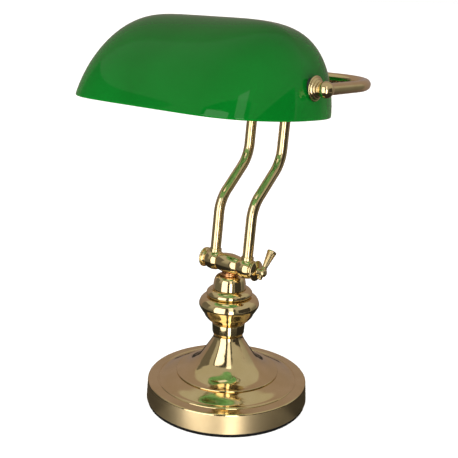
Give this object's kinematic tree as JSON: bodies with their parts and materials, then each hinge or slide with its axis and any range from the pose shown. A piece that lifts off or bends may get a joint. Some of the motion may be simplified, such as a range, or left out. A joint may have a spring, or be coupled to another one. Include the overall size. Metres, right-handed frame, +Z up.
{
  "type": "banker desk lamp",
  "caption": "Banker's desk lamp: weighted round brass base, turned column, twin S-bent arms on a thumb-screw pivot, U-shaped yoke and a long green glass shade that tilts.",
  "frame": {"origin": "middle of the base's underside, on the felt pad", "axes": "+Z up, -Y the front where the user sits, X along the shade with the thumb screw at +X"},
  "size_m": [0.2566, 0.2084, 0.3764],
  "materials": {
    "polished_brass": "polished and lacquered",
    "spun_brass": "polished on top, satin side band",
    "copper_ring": "satin",
    "cast_iron": "rough cast",
    "plated_steel": "zinc plated",
    "black_felt": "felt",
    "black_rubber": "matt",
    "black_plastic": "moulded",
    "white_ceramic": "glazed",
    "green_glass": "glossy cased glass, opal white inside",
    "opal_glass": "satin opal"
  },
  "bodies": {
    "stand": {"base_pad": "black_felt", "base_cover": "spun_brass", "base_weight": "cast_iron", "base_washer": "plated_steel", "base_nut": "plated_steel", "cord_inlet": "black_plastic", "stem_rod": "plated_steel", "stem_flare": "polished_brass", "stem_neck": "polished_brass", "stem_bowl": "polished_brass", "stem_dome": "polished_brass", "stem_cap": "polished_brass", "collar_ring": "copper_ring", "centre_knuckle": "polished_brass"},
    "arms": {"pivot_bolt": "plated_steel", "clamp_flange": "polished_brass", "bolt_button": "polished_brass", "arm_knuckle_left": "polished_brass", "arm_knuckle_right": "polished_brass", "arm_left": "polished_brass", "arm_right": "polished_brass", "yoke_clamp_left": "polished_brass", "yoke_clamp_right": "polished_brass"},
    "thumb_screw": {"screw_hub": "polished_brass", "screw_lever": "polished_brass"},
    "head": {"yoke_tube": "polished_brass", "bar_collar": "polished_brass", "bar_collar_screw": "plated_steel", "ball_left": "polished_brass", "ball_right": "polished_brass", "nipple_left": "plated_steel", "nipple_right": "plated_steel", "lock_nut": "plated_steel", "holder_cap": "polished_brass", "holder_shell": "polished_brass", "holder_insert": "white_ceramic", "thread_sleeve": "copper_ring", "centre_contact": "copper_ring", "bulb_cap": "plated_steel", "bulb_glass": "opal_glass"},
    "shade": {"shade_glass": "green_glass", "outer_gasket_left": "black_rubber", "outer_gasket_right": "black_rubber", "inner_gasket_left": "black_rubber", "inner_gasket_right": "black_rubber", "cup_left": "polished_brass", "cup_right": "polished_brass", "inner_washer_left": "polished_brass", "inner_washer_right": "polished_brass"}
  },
  "joints": [
    {"name": "arm_tilt", "type": "hinge", "parent": "stand", "child": "arms", "pos_m": [0, 0, 0.1432], "axis": [1, 0, 0], "range_deg": [-25, 20]},
    {"name": "screw_turn", "type": "hinge", "parent": "arms", "child": "thumb_screw", "pos_m": [0.04, 0, 0.1432], "axis": [1, 0, 0], "range_deg": [-30, 180]},
    {"name": "head_tilt", "type": "hinge", "parent": "arms", "child": "head", "pos_m": [0, 0.05754, 0.32327], "axis": [1, 0, 0], "range_deg": [-20, 20]},
    {"name": "shade_tilt", "type": "hinge", "parent": "head", "child": "shade", "pos_m": [0, -0.04043, 0.32577], "axis": [1, 0, 0], "range_deg": [-30, 40]}
  ]
}
